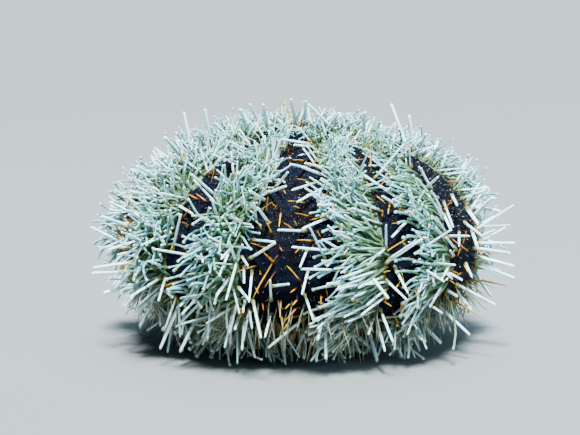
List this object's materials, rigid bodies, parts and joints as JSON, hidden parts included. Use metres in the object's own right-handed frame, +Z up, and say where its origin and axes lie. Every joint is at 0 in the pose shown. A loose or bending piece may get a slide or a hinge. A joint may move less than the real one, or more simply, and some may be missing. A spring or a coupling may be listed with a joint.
{
  "type": "sea urchin",
  "caption": "Still, life-size collector urchin: a low domed shell with dark bands between strips of pale spines and tube feet, a toothed mouth below; it stands on its lower spines.",
  "frame": {"origin": "on the floor under the middle of the animal, at the centre of the box's lower face", "axes": "+Z up through the crown, -Y towards the viewer of the picture along the middle of the first interambulacrum, +X to that viewer's right"},
  "size_m": [0.1219, 0.1221, 0.0716],
  "materials": {
    "dark_skin": "moist satin, near black with a blue cast, speckled",
    "pale_field": "moist satin, pale grey-green",
    "crown_skin": "moist satin, dark brown-black",
    "mouth_skin": "wrinkled, dull brown",
    "tooth": "polished ivory",
    "white_spine": "chalky white, finely grooved lengthways",
    "orange_spine": "satin yellow-orange, finely grooved lengthways",
    "tube_foot": "soft, moist, slightly see-through pale green"
  },
  "bodies": {
    "root": {"ambulacrum_1": "pale_field", "ambulacrum_2": "pale_field", "ambulacrum_3": "pale_field", "ambulacrum_4": "pale_field", "ambulacrum_5": "pale_field", "interambulacrum_1": "dark_skin", "interambulacrum_2": "dark_skin", "interambulacrum_3": "dark_skin", "interambulacrum_4": "dark_skin", "interambulacrum_5": "dark_skin", "crown_plate": "crown_skin", "mouth_membrane": "mouth_skin", "tooth_1": "tooth", "tooth_2": "tooth", "tooth_3": "tooth", "tooth_4": "tooth", "tooth_5": "tooth"}
  },
  "joints": []
}
